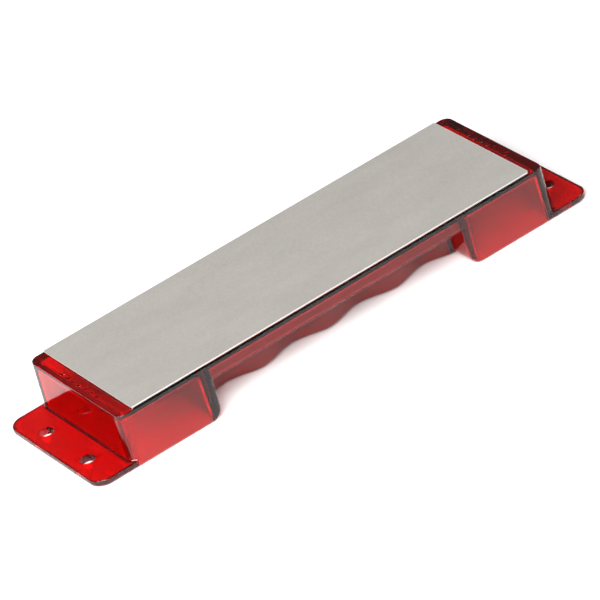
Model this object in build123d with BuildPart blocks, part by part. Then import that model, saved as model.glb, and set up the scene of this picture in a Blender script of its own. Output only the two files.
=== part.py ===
"""Bench stone for tuning ski and snowboard edges, in millimetres.

A steel honing plate with a diamond layer is glued into a clear moulded base.
The base is a bridge on two hollow feet, with a wavy finger grip under the
bridge and a screw-down flange at each end.

Frame: +X along the length, +Y across the width, +Z up, origin at the centre
of the footprint on the bench.
"""
import os

from build123d import *

# Honing plate, 6 in long and about 2 in wide
PLATE_LENGTH = 152.4
PLATE_WIDTH = 52.0
STEEL_THICKNESS = 1.0
DIAMOND_THICKNESS = 0.1
GLUE_THICKNESS = 0.1
PLATE_CORNER_RADIUS = 0.8
PLATE_PROUD = 0.6

# Deck that carries the plate, and the draft of the outer walls below it
DECK_LENGTH = 163.0
DECK_WIDTH = 53.2
DECK_HEIGHT = 19.1
DECK_THICKNESS = 2.4
DECK_CORNER_RADIUS = 3.0
DECK_EDGE_RADIUS = 0.5
OUTER_DRAFT = 0.4

# Screw-down flanges
FLANGE_LENGTH = 190.0
FLANGE_THICKNESS = 2.5
FLANGE_CORNER_RADIUS = 5.0
FLANGE_EDGE_RADIUS = 0.4
FLANGE_COVE = 1.0
COVE_ROOT = 0.3
COVE_INSET = 0.05
SCREW_SPACING_X = 178.4
SCREW_SPACING_Y = 24.4
SCREW_HOLE_RADIUS = 2.5

# Bridge between the feet
BRIDGE_HALF_SPAN = 47.8
BRIDGE_SKIRT_Z = 13.5
BRIDGE_DRAFT = 0.4
SKIRT_EDGE_RADIUS = 0.8
FOOT_TOE_RADIUS = 4.0
FOOT_SIDE_RADIUS = 1.2

# Walls
SIDE_WALL = 2.2
END_WALL = 2.5
INNER_WALL = 3.2
POCKET_DRAFT = 0.3
POCKET_CORNER_RADIUS = 1.5
CEILING_RADIUS = 1.0

# Finger grip under the bridge
GRIP_PITCH = 25.5
GRIP_WAVES = 4
GRIP_HALF_WIDTH = 15.7
GRIP_WAVE = 1.6
GRIP_CLEARANCE = 0.8
GRIP_WALL = 2.8
GRIP_EDGE_RADIUS = 2.2
GRIP_OVERLAP = 0.5

# Raised marks on the two end strips of the deck
MARK_COUNT = 7
MARK_PITCH = 3.4
MARK_SIZE = (1.3, 1.3)
MARK_HEIGHT = 0.25
MARK_TURN = 45

# Heights worked out from the dimensions above
plate_stack = STEEL_THICKNESS + DIAMOND_THICKNESS + GLUE_THICKNESS
recess_z = DECK_HEIGHT + PLATE_PROUD - plate_stack
steel_z = recess_z + GLUE_THICKNESS
diamond_z = steel_z + STEEL_THICKNESS
ceiling_z = DECK_HEIGHT - DECK_THICKNESS
base_length = DECK_LENGTH + 2 * OUTER_DRAFT
base_width = DECK_WIDTH + 2 * OUTER_DRAFT
base_corner_radius = DECK_CORNER_RADIUS + OUTER_DRAFT
inner_half_width = DECK_WIDTH / 2 - SIDE_WALL
bridge_reach = BRIDGE_HALF_SPAN + FOOT_TOE_RADIUS

# How near two heights are when an edge is picked by its height
SAME_HEIGHT = 0.01


def at_height(shape, height):
    """True where the middle of a face or an edge lies at this height."""
    return abs(shape.center().Z - height) < SAME_HEIGHT


def grip_outline(half_width):
    """Closed outline of the grip: two wavy sides and two straight ends.

    Each side is a smooth curve through its crests and hollows, where it runs
    level. It starts and ends inside the walls of the feet.
    """
    half_length = GRIP_WAVES * GRIP_PITCH / 2
    steps = range(2 * GRIP_WAVES + 1)
    near = []
    far = []
    for step in steps:
        x = -half_length + step * GRIP_PITCH / 2
        crest = GRIP_WAVE if step % 2 == 0 else -GRIP_WAVE
        near.append((x, -half_width - crest))
        far.append((x, half_width + crest))
    level = [(1, 0)] * len(near)
    Spline(*near, tangents=level)
    Spline(*far, tangents=level)
    Line(near[0], far[0])
    Line(near[-1], far[-1])


with BuildPart() as grip:
    # Wavy block, rounded along its two lower edges
    with BuildSketch(Plane.XY.offset(GRIP_CLEARANCE)):
        with BuildLine():
            grip_outline(GRIP_HALF_WIDTH)
        make_face()
    extrude(amount=ceiling_z + GRIP_OVERLAP - GRIP_CLEARANCE)
    lower_edges = grip.faces().sort_by(Axis.Z)[0].edges()
    fillet(lower_edges.filter_by(GeomType.BSPLINE), GRIP_EDGE_RADIUS)

    # Hollow between the feet, open at the bench
    with BuildSketch(Plane.XY.offset(GRIP_CLEARANCE)):
        with BuildLine():
            grip_outline(GRIP_HALF_WIDTH - GRIP_WALL)
        make_face()
        Rectangle(2 * BRIDGE_HALF_SPAN, DECK_WIDTH, mode=Mode.INTERSECT)
    extrude(amount=ceiling_z - GRIP_CLEARANCE, mode=Mode.SUBTRACT)

with BuildPart() as flange:
    # Flange slab, flush with the sides of the feet, with its top edge eased
    with BuildSketch():
        RectangleRounded(FLANGE_LENGTH, base_width, FLANGE_CORNER_RADIUS)
    extrude(amount=FLANGE_THICKNESS)
    fillet(flange.faces().sort_by(Axis.Z)[-1].edges(), FLANGE_EDGE_RADIUS)

with BuildSketch(Plane.XY.offset(FLANGE_THICKNESS)) as foot_outline:
    RectangleRounded(base_length, base_width, base_corner_radius)
cove_path = foot_outline.sketch.faces()[0].outer_wire()
cove_start = cove_path @ 0
cove_heading = cove_path % 0

with BuildPart() as cove:
    # Concave corner where each end wall stands on its flange, dying out at the sides.
    # The profile's own Y axis points down, towards the bench.
    outward = cove_heading.cross(Vector(0, 0, 1))
    with BuildSketch(Plane(cove_start, x_dir=outward, z_dir=cove_heading)):
        with BuildLine():
            Line((-COVE_ROOT, 0), (FLANGE_COVE, 0))
            RadiusArc((FLANGE_COVE, 0), (0, -FLANGE_COVE), -FLANGE_COVE)
            Polyline((0, -FLANGE_COVE), (-COVE_ROOT, -FLANGE_COVE), (-COVE_ROOT, 0))
        make_face()
    sweep(path=cove_path)
    Box(FLANGE_LENGTH, base_width - 2 * COVE_INSET, DECK_HEIGHT, mode=Mode.INTERSECT)

with BuildPart() as base:
    # Block of the two feet, upright beside the flange and drafted above it
    with BuildSketch():
        RectangleRounded(base_length, base_width, base_corner_radius)
    extrude(amount=FLANGE_THICKNESS)
    with BuildSketch(Plane.XY.offset(FLANGE_THICKNESS)):
        RectangleRounded(base_length, base_width, base_corner_radius)
    with BuildSketch(Plane.XY.offset(DECK_HEIGHT)):
        RectangleRounded(DECK_LENGTH, DECK_WIDTH, DECK_CORNER_RADIUS)
    loft()
    fillet(base.faces().sort_by(Axis.Z)[-1].edges(), DECK_EDGE_RADIUS)
    add(flange.part)
    add(cove.part)

    # Gap below the bridge, wider at the bench
    with BuildSketch(Plane.XZ):
        with BuildLine():
            Polyline(
                (-BRIDGE_HALF_SPAN - BRIDGE_DRAFT, 0),
                (-BRIDGE_HALF_SPAN, BRIDGE_SKIRT_Z),
                (BRIDGE_HALF_SPAN, BRIDGE_SKIRT_Z),
                (BRIDGE_HALF_SPAN + BRIDGE_DRAFT, 0),
                close=True,
            )
        make_face()
    extrude(amount=base_width, both=True, mode=Mode.SUBTRACT)
    toes = base.edges().filter_by(Axis.Y).group_by(Axis.Z)[0]
    fillet(toes.filter_by(lambda edge: abs(edge.center().X) < bridge_reach), FOOT_TOE_RADIUS)
    foot_sides = base.edges().filter_by(lambda edge: abs(edge.center().X) < bridge_reach)
    foot_sides = foot_sides.filter_by(
        lambda edge: FOOT_TOE_RADIUS < edge.length < BRIDGE_SKIRT_Z and abs(edge.center().Y) > DECK_WIDTH / 2
    )
    fillet(foot_sides, FOOT_SIDE_RADIUS)

    # Channel under the bridge, behind its two skirts
    with BuildSketch(Plane.XY.offset(ceiling_z)):
        Rectangle(2 * BRIDGE_HALF_SPAN, 2 * inner_half_width)
    extrude(amount=BRIDGE_SKIRT_Z - ceiling_z, mode=Mode.SUBTRACT)
    lengthwise = base.edges().filter_by(Axis.X)
    fillet(lengthwise.filter_by(lambda edge: at_height(edge, BRIDGE_SKIRT_Z)), SKIRT_EDGE_RADIUS)
    lengthwise = base.edges().filter_by(Axis.X)
    fillet(lengthwise.filter_by(lambda edge: at_height(edge, ceiling_z)), CEILING_RADIUS)

    add(grip.part)

    # Hollow feet, open at the bench
    for side in (-1, 1):
        inner_x = BRIDGE_HALF_SPAN + INNER_WALL
        outer_x = DECK_LENGTH / 2 - END_WALL
        middle = side * (inner_x + outer_x) / 2
        length = outer_x - inner_x
        flare = 2 * POCKET_DRAFT
        with BuildSketch(Plane.XY.offset(ceiling_z)):
            with Locations((middle, 0)):
                RectangleRounded(length, 2 * inner_half_width, POCKET_CORNER_RADIUS)
        with BuildSketch():
            with Locations((middle, 0)):
                RectangleRounded(length + flare, 2 * inner_half_width + flare, POCKET_CORNER_RADIUS)
        loft(mode=Mode.SUBTRACT)
        ceilings = base.faces().filter_by(lambda face: at_height(face, ceiling_z)).sort_by(Axis.X)
        foot_ceiling = ceilings[0] if side < 0 else ceilings[-1]
        fillet(foot_ceiling.edges(), CEILING_RADIUS)

    # Recess for the plate
    with BuildSketch(Plane.XY.offset(recess_z)):
        RectangleRounded(PLATE_LENGTH, PLATE_WIDTH, PLATE_CORNER_RADIUS)
    extrude(amount=DECK_HEIGHT - recess_z, mode=Mode.SUBTRACT)

    # Screw holes
    with Locations(Plane.XY.offset(FLANGE_THICKNESS)):
        with GridLocations(SCREW_SPACING_X, SCREW_SPACING_Y, 2, 2):
            Hole(SCREW_HOLE_RADIUS, depth=FLANGE_THICKNESS)

    # Raised marks, one row on each end strip
    strip_x = (DECK_LENGTH + PLATE_LENGTH) / 4
    for side in (-1, 1):
        with BuildSketch(Plane.XY.offset(DECK_HEIGHT)):
            with Locations((side * strip_x, 0)):
                with GridLocations(MARK_PITCH, MARK_PITCH, 1, MARK_COUNT):
                    Rectangle(*MARK_SIZE, rotation=MARK_TURN)
        extrude(amount=MARK_HEIGHT)


with BuildPart() as glue_film:
    with BuildSketch(Plane.XY.offset(recess_z)):
        RectangleRounded(PLATE_LENGTH, PLATE_WIDTH, PLATE_CORNER_RADIUS)
    extrude(amount=GLUE_THICKNESS)

with BuildPart() as honing_plate:
    with BuildSketch(Plane.XY.offset(steel_z)):
        RectangleRounded(PLATE_LENGTH, PLATE_WIDTH, PLATE_CORNER_RADIUS)
    extrude(amount=STEEL_THICKNESS)

with BuildPart() as diamond_layer:
    with BuildSketch(Plane.XY.offset(diamond_z)):
        RectangleRounded(PLATE_LENGTH, PLATE_WIDTH, PLATE_CORNER_RADIUS)
    extrude(amount=DIAMOND_THICKNESS)

pieces = {
    "base": base,
    "glue_film": glue_film,
    "honing_plate": honing_plate,
    "diamond_layer": diamond_layer,
}
os.makedirs("parts", exist_ok=True)
for name, piece in pieces.items():
    piece.part.label = name
    export_step(piece.part, f"parts/{name}.step")
    print(name, piece.part.is_valid, len(piece.part.solids()), round(piece.part.volume))
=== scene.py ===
"""Looks of a bench stone for tuning ski edges: a diamond-coated steel plate on a clear red moulded base.

Metres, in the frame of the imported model: +X along the length, +Y across, +Z up from the bench.
"""
import math

import bpy
from mathutils import Matrix, Vector


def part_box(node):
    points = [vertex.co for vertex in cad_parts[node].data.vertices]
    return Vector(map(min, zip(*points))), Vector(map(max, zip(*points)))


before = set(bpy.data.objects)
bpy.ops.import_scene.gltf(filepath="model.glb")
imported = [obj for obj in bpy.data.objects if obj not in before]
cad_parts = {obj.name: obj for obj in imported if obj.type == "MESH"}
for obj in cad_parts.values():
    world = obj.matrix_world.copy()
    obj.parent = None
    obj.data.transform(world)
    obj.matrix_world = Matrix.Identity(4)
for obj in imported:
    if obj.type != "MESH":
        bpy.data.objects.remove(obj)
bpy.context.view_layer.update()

MM = 0.001

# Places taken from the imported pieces
BASE_LOW, BASE_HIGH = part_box("base")
PLATE_LOW, PLATE_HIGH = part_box("honing_plate")
PLATE_HALF_LENGTH = (PLATE_HIGH[0] - PLATE_LOW[0]) / 2
PLATE_HALF_WIDTH = (PLATE_HIGH[1] - PLATE_LOW[1]) / 2

# Inside of the mould: the middle of a hollow foot along the base, where the foot begins, and the
# height of the point that the inner walls look back at
FOOT_MIDDLE = 64.8 * MM
FOOT_START = 47.7 * MM
CORE_HEIGHT = 8.0 * MM

# Clear red acrylic: how far red light, and the rest of the light, go before about a third is left
ACRYLIC_IOR = 1.49
RED_REACH = 36.0 * MM
OTHER_REACH = 0.55 * MM

# How rough its walls are: polished by the mould, then scuffed; spark-eroded inside, give or take a
# spread; and how much rougher it gets, at most, over the last stretch of its ends
POLISHED = 0.02
SCUFFED = 0.14
SPARK_ERODED = 0.35
SPARK_SPREAD = 0.06
WORN_STRETCH = 0.8 * MM
WORN_ROUGHER = 0.5

# How rough the other finishes are, in their smooth places and in their rough ones
GROUND_SMOOTH = 0.18
GROUND_ROUGH = 0.34
GRITTY_SMOOTH = 0.72
GRITTY_ROUGH = 0.88
RUBBED_BRIGHT = 0.3
FILM_SMOOTH = 0.4
FILM_ROUGH = 0.65
PAPER_ROUGH = 0.9

# Diamond face: how metallic it is, and how much of the dark grain's colour its darkest grains take
GRITTY_METALLIC = 0.4
DARKEST_GRAIN = 0.16

# Patterns: how wide one feature is, and, where it is drawn out along the base, its scale along the
# base against its scale across
SCUFF_WIDTH = 0.5 * MM
SCUFF_ALONG = 0.1
SCUFF_PATCH = 12 * MM
RIPPLE_WIDTH = 9 * MM
RIPPLE_ALONG = 0.33
GRINDING_WIDTH = 0.15 * MM
GRINDING_ALONG = 0.025
STAIN_WIDTH = 6 * MM
GRIT_WIDTH = 0.4 * MM
CLOUD_WIDTH = 9 * MM
CLOUD_ALONG = 0.4
BLOTCH_WIDTH = 4 * MM
TOOTH_WIDTH = 0.8 * MM

# How deep the patterns are
RIPPLE_DEPTH = 0.05 * MM
GRINDING_DEPTH = 0.01 * MM
GRIT_DEPTH = 0.04 * MM
BLOTCH_DEPTH = 0.02 * MM

# Noise keeps mostly between these, and two noises multiplied between the next two
NOISE_LOW = 0.3
NOISE_HIGH = 0.7
SCUFF_LOW = 0.22
SCUFF_HIGH = 0.42

# Strip along the outline of the plate that is worn, and painted lighter there as a highlight
WORN_HIGHLIGHT_STRIP = 0.2 * MM

# Studio: a large soft key on the front left and a weak fill on the front right
FLOOR_SIZE = 6.0
FLOOR_GAP = 0.05 * MM
WORLD_STRENGTH = 0.12
KEY_TURN = math.radians(47)
KEY_RISE = math.radians(39)
KEY_DISTANCE = 1.7
KEY_SIZE = (1.7, 1.3)
KEY_WATTS = 87
FILL_TURN = math.radians(-65)
FILL_RISE = math.radians(38)
FILL_DISTANCE = 2.0
FILL_SIZE = (1.5, 1.2)
FILL_WATTS = 12

# Camera, aimed near the middle of the base and rolled so that the base climbs to the right
CAMERA_AIM = Vector((-2.0, -5.0, 8.0)) * MM
CAMERA_DISTANCE = 1615.8 * MM
CAMERA_TURN = math.radians(25.5)
CAMERA_RISE = math.radians(30.9)
CAMERA_ROLL = math.radians(16.9)
CAMERA_LENS = 313.3
SENSOR_WIDTH = 36.0
CAMERA_CLIP_END = 20.0


def linear(hex_colour):
    """An sRGB hex colour as the linear RGBA that a shader takes."""
    channels = [int(hex_colour[i:i + 2], 16) / 255 for i in (1, 3, 5)]
    bright = [c / 12.92 if c <= 0.04045 else ((c + 0.055) / 1.055) ** 2.4 for c in channels]
    return (*bright, 1.0)


def scale_of(width):
    """The texture scale at which one feature is this many metres across."""
    return 1 / width


def add_node(tree, kind, settings=None, **sockets):
    """Adds one node. settings are its properties, sockets its inputs: a value, or an output to link.

    A socket is named with _ for a space, or as _ and its number.
    """
    node = tree.nodes.new(kind)
    for name, value in (settings or {}).items():
        setattr(node, name, value)
    for name, value in sockets.items():
        key = int(name[1:]) if name[0] == "_" else name.replace("_", " ")
        socket = node.inputs[key]
        if isinstance(value, bpy.types.NodeSocket):
            tree.links.new(value, socket)
        else:
            socket.default_value = value
    return node


def new_material(name):
    """An empty node material, with its output node and the place on the piece in metres."""
    material = bpy.data.materials.new(name)
    material.use_nodes = True
    tree = material.node_tree
    tree.nodes.clear()
    output = add_node(tree, "ShaderNodeOutputMaterial")
    place = add_node(tree, "ShaderNodeTexCoord").outputs["Object"]
    return material, tree, output, place


def core_side(tree, place):
    """1 on the walls that the core of the mould made, which look back at the middle of a foot or of the
    grip, and 0 on the walls that its cavity made.
    """
    spot = add_node(tree, "ShaderNodeSeparateXYZ", Vector=place)
    along = add_node(tree, "ShaderNodeMath", {"operation": "ABSOLUTE"}, _0=spot.outputs["X"])
    end = add_node(tree, "ShaderNodeMath", {"operation": "SIGN"}, _0=spot.outputs["X"])
    in_foot = add_node(
        tree, "ShaderNodeMath", {"operation": "GREATER_THAN"}, _0=along.outputs[0], _1=FOOT_START,
    )
    off = add_node(
        tree, "ShaderNodeMath", {"operation": "SUBTRACT"}, _0=along.outputs[0], _1=FOOT_MIDDLE,
    )
    for factor in (in_foot, end):
        off = add_node(
            tree, "ShaderNodeMath", {"operation": "MULTIPLY"}, _0=off.outputs[0], _1=factor.outputs[0],
        )
    up = add_node(
        tree, "ShaderNodeMath", {"operation": "SUBTRACT"}, _0=spot.outputs["Z"], _1=CORE_HEIGHT,
    )
    out = add_node(
        tree, "ShaderNodeCombineXYZ", X=off.outputs[0], Y=spot.outputs["Y"], Z=up.outputs[0],
    )
    # the normal turns round where light meets a wall from inside the acrylic, so it is turned back
    surface = add_node(tree, "ShaderNodeNewGeometry")
    turn_back = add_node(
        tree, "ShaderNodeMapRange", Value=surface.outputs["Backfacing"], To_Min=1.0, To_Max=-1.0,
    )
    facing = add_node(
        tree, "ShaderNodeVectorMath", {"operation": "DOT_PRODUCT"},
        _0=out.outputs[0], _1=surface.outputs["True Normal"],
    )
    facing = add_node(
        tree, "ShaderNodeMath", {"operation": "MULTIPLY"},
        _0=facing.outputs["Value"], _1=turn_back.outputs[0],
    )
    core = add_node(
        tree, "ShaderNodeMath", {"operation": "LESS_THAN"}, _0=facing.outputs[0], _1=0.0,
    )
    return core.outputs[0]


def plate_wear_and_highlight(tree, place):
    """1 at the outline of the plate, falling to 0 over the strip inside it that is worn and painted
    lighter as a highlight.
    """
    spot = add_node(tree, "ShaderNodeSeparateXYZ", Vector=place)
    along = add_node(tree, "ShaderNodeMath", {"operation": "ABSOLUTE"}, _0=spot.outputs["X"])
    across = add_node(tree, "ShaderNodeMath", {"operation": "ABSOLUTE"}, _0=spot.outputs["Y"])
    along = add_node(
        tree, "ShaderNodeMath", {"operation": "SUBTRACT"}, _0=PLATE_HALF_LENGTH, _1=along.outputs[0],
    )
    across = add_node(
        tree, "ShaderNodeMath", {"operation": "SUBTRACT"}, _0=PLATE_HALF_WIDTH, _1=across.outputs[0],
    )
    nearest = add_node(
        tree, "ShaderNodeMath", {"operation": "MINIMUM"}, _0=along.outputs[0], _1=across.outputs[0],
    )
    wear_and_highlight = add_node(
        tree, "ShaderNodeMapRange", {"interpolation_type": "SMOOTHSTEP"},
        Value=nearest.outputs[0], From_Min=0.0, From_Max=WORN_HIGHLIGHT_STRIP, To_Min=1.0, To_Max=0.0,
    )
    return wear_and_highlight.outputs[0]


def clear_red_acrylic():
    """Acrylic, tinted in the melt and injection moulded.

    The cavity of the mould is polished, so the outside is glassy. A slow flow ripple bends what it
    mirrors, and a bench tool's fine scuffs dull it in strokes along its length. The core is
    spark-eroded, so the inside scatters the light that comes through.
    """
    material, tree, output, place = new_material("clear_red_acrylic")

    # real scuffs are finer; their strokes are drawn coarse enough to show, and ten times as long
    lengthwise = add_node(tree, "ShaderNodeMapping", Vector=place, Scale=(SCUFF_ALONG, 1.0, 1.0))
    strokes = add_node(
        tree, "ShaderNodeTexNoise",
        Vector=lengthwise.outputs[0], Scale=scale_of(SCUFF_WIDTH), Detail=5.0,
    )
    patches = add_node(
        tree, "ShaderNodeTexNoise", Vector=place, Scale=scale_of(SCUFF_PATCH), Detail=3.0,
    )
    scuffs = add_node(
        tree, "ShaderNodeMath", {"operation": "MULTIPLY"},
        _0=strokes.outputs["Fac"], _1=patches.outputs["Fac"],
    )
    outside = add_node(
        tree, "ShaderNodeMapRange", Value=scuffs.outputs[0],
        From_Min=SCUFF_LOW, From_Max=SCUFF_HIGH, To_Min=POLISHED, To_Max=SCUFFED,
    )

    # the base rubs dull first where it sticks out furthest, at the ends of its flanges
    spot = add_node(tree, "ShaderNodeSeparateXYZ", Vector=place)
    along = add_node(tree, "ShaderNodeMath", {"operation": "ABSOLUTE"}, _0=spot.outputs["X"])
    tip = add_node(
        tree, "ShaderNodeMapRange", Value=along.outputs[0],
        From_Min=BASE_HIGH[0] - WORN_STRETCH, From_Max=BASE_HIGH[0], To_Min=0.0, To_Max=WORN_ROUGHER,
    )
    worn = add_node(
        tree, "ShaderNodeMath", {"operation": "MULTIPLY"},
        _0=tip.outputs[0], _1=patches.outputs["Fac"],
    )
    outside = add_node(
        tree, "ShaderNodeMath", {"operation": "ADD"}, _0=outside.outputs[0], _1=worn.outputs[0],
    )
    inside = add_node(
        tree, "ShaderNodeMapRange", Value=patches.outputs["Fac"], From_Min=NOISE_LOW, From_Max=NOISE_HIGH,
        To_Min=SPARK_ERODED - SPARK_SPREAD, To_Max=SPARK_ERODED + SPARK_SPREAD,
    )
    core = core_side(tree, place)
    roughness = add_node(
        tree, "ShaderNodeMix", Factor=core, A=outside.outputs[0], B=inside.outputs[0],
    )

    # ripple where the melt flowed, three times as long as it is wide
    flow = add_node(tree, "ShaderNodeMapping", Vector=place, Scale=(RIPPLE_ALONG, 1.0, 1.0))
    ripple = add_node(
        tree, "ShaderNodeTexNoise", Vector=flow.outputs[0], Scale=scale_of(RIPPLE_WIDTH), Detail=1.0,
    )
    bump = add_node(
        tree, "ShaderNodeBump", Strength=0.12, Distance=RIPPLE_DEPTH, Height=ripple.outputs["Fac"],
    )

    # the tint is a shade stronger where the melt cooled last
    tint = add_node(
        tree, "ShaderNodeMix", {"data_type": "RGBA"},
        _0=ripple.outputs["Fac"], _6=linear("#FFFFFF"), _7=linear("#FFF1F0"),
    )
    shader = add_node(
        tree, "ShaderNodeBsdfPrincipled", Base_Color=tint.outputs[2], Roughness=roughness.outputs[0],
        IOR=ACRYLIC_IOR, Transmission_Weight=1.0, Normal=bump.outputs[0],
    )

    # what each metre of acrylic takes from red, green and blue light, as a density and a colour
    taken = [1 / RED_REACH, 1 / OTHER_REACH, 1 / OTHER_REACH]
    density = max(taken)
    passed = (*[1 - t / density for t in taken], 1.0)
    depth = add_node(tree, "ShaderNodeVolumeAbsorption", Color=passed, Density=density)
    tree.links.new(shader.outputs[0], output.inputs["Surface"])
    tree.links.new(depth.outputs[0], output.inputs["Volume"])
    return material


def ground_steel():
    """Carbon steel strip, sheared and surface ground.

    The wheel leaves fine lines along the plate, so its sides are bright and streaky, with faint stains
    left by water and swarf.
    """
    material, tree, output, place = new_material("ground_steel")

    # grinding lines, drawn coarser than real ones so that they show, and forty times as long
    lengthwise = add_node(tree, "ShaderNodeMapping", Vector=place, Scale=(GRINDING_ALONG, 1.0, 1.0))
    lines = add_node(
        tree, "ShaderNodeTexNoise",
        Vector=lengthwise.outputs[0], Scale=scale_of(GRINDING_WIDTH), Detail=3.0,
    )
    stain = add_node(
        tree, "ShaderNodeTexNoise", Vector=place, Scale=scale_of(STAIN_WIDTH), Detail=4.0,
    )
    grey = add_node(
        tree, "ShaderNodeMix", {"data_type": "RGBA"},
        _0=stain.outputs["Fac"], _6=linear("#D3D0CA"), _7=linear("#BDBAB4"),
    )
    roughness = add_node(
        tree, "ShaderNodeMapRange", Value=lines.outputs["Fac"],
        From_Min=NOISE_LOW, From_Max=NOISE_HIGH, To_Min=GROUND_SMOOTH, To_Max=GROUND_ROUGH,
    )
    bump = add_node(
        tree, "ShaderNodeBump", Strength=0.3, Distance=GRINDING_DEPTH, Height=lines.outputs["Fac"],
    )
    shader = add_node(
        tree, "ShaderNodeBsdfPrincipled", Base_Color=grey.outputs[2], Metallic=1.0,
        Roughness=roughness.outputs[0], Normal=bump.outputs[0],
    )
    tree.links.new(shader.outputs[0], output.inputs["Surface"])
    return material


def diamond_nickel():
    """Nickel, electroplated over diamond grit.

    The grit stands out of the nickel and covers much of it, so the face is a matt warm grey, less
    metallic than bare nickel, with a fine grain. Strokes along the plate have burnished it in faint
    clouds, and its outline is worn, and painted lighter as a highlight along the edge.
    """
    material, tree, output, place = new_material("diamond_nickel")

    # real grit is about 0.04 mm; it is drawn ten times as coarse so that it shows
    grit = add_node(tree, "ShaderNodeTexVoronoi", Vector=place, Scale=scale_of(GRIT_WIDTH))
    grain = add_node(tree, "ShaderNodeSeparateColor", Color=grit.outputs["Color"])
    lengthwise = add_node(tree, "ShaderNodeMapping", Vector=place, Scale=(CLOUD_ALONG, 1.0, 1.0))
    clouds = add_node(
        tree, "ShaderNodeTexNoise",
        Vector=lengthwise.outputs[0], Scale=scale_of(CLOUD_WIDTH), Detail=5.0,
    )
    cloudy = add_node(
        tree, "ShaderNodeMapRange",
        Value=clouds.outputs["Fac"], From_Min=NOISE_LOW, From_Max=NOISE_HIGH,
    )
    grey = add_node(
        tree, "ShaderNodeMix", {"data_type": "RGBA"},
        _0=cloudy.outputs[0], _6=linear("#A09C97"), _7=linear("#A6A29D"),
    )
    dark_grain = add_node(
        tree, "ShaderNodeMapRange", Value=grain.outputs["Red"], To_Min=0.0, To_Max=DARKEST_GRAIN,
    )
    grey = add_node(
        tree, "ShaderNodeMix", {"data_type": "RGBA"},
        _0=dark_grain.outputs[0], _6=grey.outputs[2], _7=linear("#6E6B67"),
    )
    # painted highlight: the worn outline is drawn in a light grey that stands in for the bright line its
    # edge catches
    wear_and_highlight = plate_wear_and_highlight(tree, place)
    grey = add_node(
        tree, "ShaderNodeMix", {"data_type": "RGBA"},
        _0=wear_and_highlight, _6=grey.outputs[2], _7=linear("#E2DFDA"),
    )
    matt = add_node(
        tree, "ShaderNodeMapRange",
        Value=grain.outputs["Green"], To_Min=GRITTY_SMOOTH, To_Max=GRITTY_ROUGH,
    )
    roughness = add_node(tree, "ShaderNodeMix", Factor=wear_and_highlight, A=matt.outputs[0], B=RUBBED_BRIGHT)
    bump = add_node(
        tree, "ShaderNodeBump", {"invert": True},
        Strength=0.4, Distance=GRIT_DEPTH, Height=grit.outputs["Distance"],
    )
    shader = add_node(
        tree, "ShaderNodeBsdfPrincipled", Base_Color=grey.outputs[2], Metallic=GRITTY_METALLIC,
        Roughness=roughness.outputs[0], Normal=bump.outputs[0],
    )
    tree.links.new(shader.outputs[0], output.inputs["Surface"])
    return material


def film_adhesive():
    """Acrylic film adhesive, pressed between plate and base: dark and satin, in soft blotches."""
    material, tree, output, place = new_material("acrylic_film_adhesive")
    blotch = add_node(
        tree, "ShaderNodeTexNoise", Vector=place, Scale=scale_of(BLOTCH_WIDTH), Detail=3.0,
    )
    black = add_node(
        tree, "ShaderNodeMix", {"data_type": "RGBA"},
        _0=blotch.outputs["Fac"], _6=linear("#171213"), _7=linear("#2A2122"),
    )
    roughness = add_node(
        tree, "ShaderNodeMapRange",
        Value=blotch.outputs["Fac"], To_Min=FILM_SMOOTH, To_Max=FILM_ROUGH,
    )
    bump = add_node(
        tree, "ShaderNodeBump", Strength=0.2, Distance=BLOTCH_DEPTH, Height=blotch.outputs["Fac"],
    )
    shader = add_node(
        tree, "ShaderNodeBsdfPrincipled", Base_Color=black.outputs[2],
        Roughness=roughness.outputs[0], Normal=bump.outputs[0],
    )
    tree.links.new(shader.outputs[0], output.inputs["Surface"])
    return material


def white_paper():
    """Uncoated studio paper: matt white, with a faint tooth."""
    material, tree, output, place = new_material("white_paper")
    tooth = add_node(
        tree, "ShaderNodeTexNoise", Vector=place, Scale=scale_of(TOOTH_WIDTH), Detail=2.0,
    )
    white = add_node(
        tree, "ShaderNodeMix", {"data_type": "RGBA"},
        _0=tooth.outputs["Fac"], _6=linear("#F6F6F6"), _7=linear("#F2F2F2"),
    )
    shader = add_node(
        tree, "ShaderNodeBsdfPrincipled", Base_Color=white.outputs[2], Roughness=PAPER_ROUGH,
    )
    tree.links.new(shader.outputs[0], output.inputs["Surface"])
    return material


def give(piece_name, material):
    """Puts one material in every slot of a carried-over piece."""
    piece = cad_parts[piece_name]
    for slot in piece.material_slots:
        slot.link = "OBJECT"
        slot.material = material


def direction(turn, rise):
    """Unit vector away from the base, turned from -Y towards -X and raised from the floor."""
    flat = math.cos(rise)
    return Vector((-math.sin(turn) * flat, -math.cos(turn) * flat, math.sin(rise)))


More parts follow.
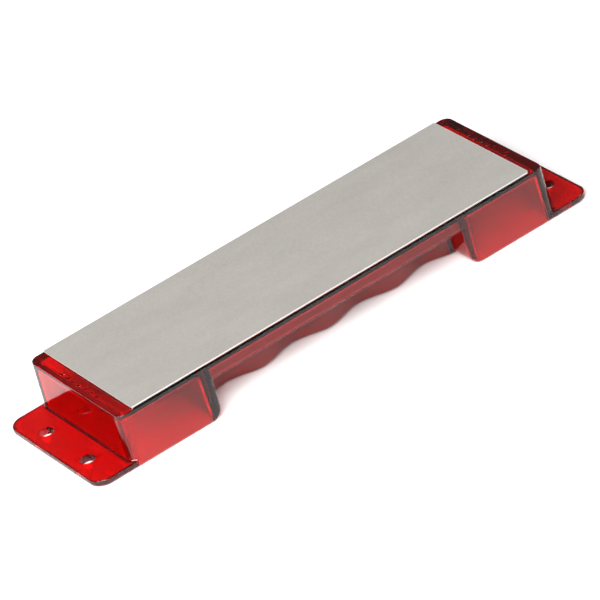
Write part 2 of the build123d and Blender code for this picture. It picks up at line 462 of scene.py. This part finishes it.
def lay_floor():
    """White paper just under the base."""
    half = FLOOR_SIZE / 2
    low = BASE_LOW[2] - FLOOR_GAP
    corners = [(-half, -half, low), (half, -half, low), (half, half, low), (-half, half, low)]
    mesh = bpy.data.meshes.new("floor")
    mesh.from_pydata(corners, [], [(0, 1, 2, 3)])
    mesh.materials.append(white_paper())
    floor = bpy.data.objects.new("floor", mesh)
    bpy.context.scene.collection.objects.link(floor)


def hang_light(name, place, size, watts):
    """One soft box, turned towards the base."""
    lamp = bpy.data.lights.new(name, "AREA")
    lamp.shape = "RECTANGLE"
    lamp.size, lamp.size_y = size
    lamp.energy = watts
    light = bpy.data.objects.new(name, lamp)
    light.location = place
    light.rotation_euler = (-place).to_track_quat("-Z", "Y").to_euler()
    bpy.context.scene.collection.objects.link(light)


def dim_world():
    """A dark studio, so that the deck and the flanges mirror little from behind."""
    world = bpy.data.worlds.new("studio")
    world.use_nodes = True
    world.node_tree.nodes["Background"].inputs["Color"].default_value = linear("#FFFFFF")
    world.node_tree.nodes["Background"].inputs["Strength"].default_value = WORLD_STRENGTH
    bpy.context.scene.world = world


def set_camera():
    """A long lens on the front left, looking down on the face."""
    back = direction(CAMERA_TURN, CAMERA_RISE)
    turn = (-back).to_track_quat("-Z", "Y").to_matrix().to_4x4()
    roll = Matrix.Rotation(-CAMERA_ROLL, 4, "Z")
    camera_data = bpy.data.cameras.new("camera")
    camera_data.lens = CAMERA_LENS
    camera_data.sensor_width = SENSOR_WIDTH
    camera_data.clip_end = CAMERA_CLIP_END
    camera = bpy.data.objects.new("camera", camera_data)
    camera.matrix_world = Matrix.Translation(CAMERA_AIM + back * CAMERA_DISTANCE) @ turn @ roll
    bpy.context.scene.collection.objects.link(camera)
    bpy.context.scene.camera = camera


give("base", clear_red_acrylic())
give("glue_film", film_adhesive())
give("honing_plate", ground_steel())
give("diamond_layer", diamond_nickel())

lay_floor()
dim_world()
hang_light("key", direction(KEY_TURN, KEY_RISE) * KEY_DISTANCE, KEY_SIZE, KEY_WATTS)
hang_light("fill", direction(FILL_TURN, FILL_RISE) * FILL_DISTANCE, FILL_SIZE, FILL_WATTS)
set_camera()
bpy.context.scene.view_settings.view_transform = "Standard"
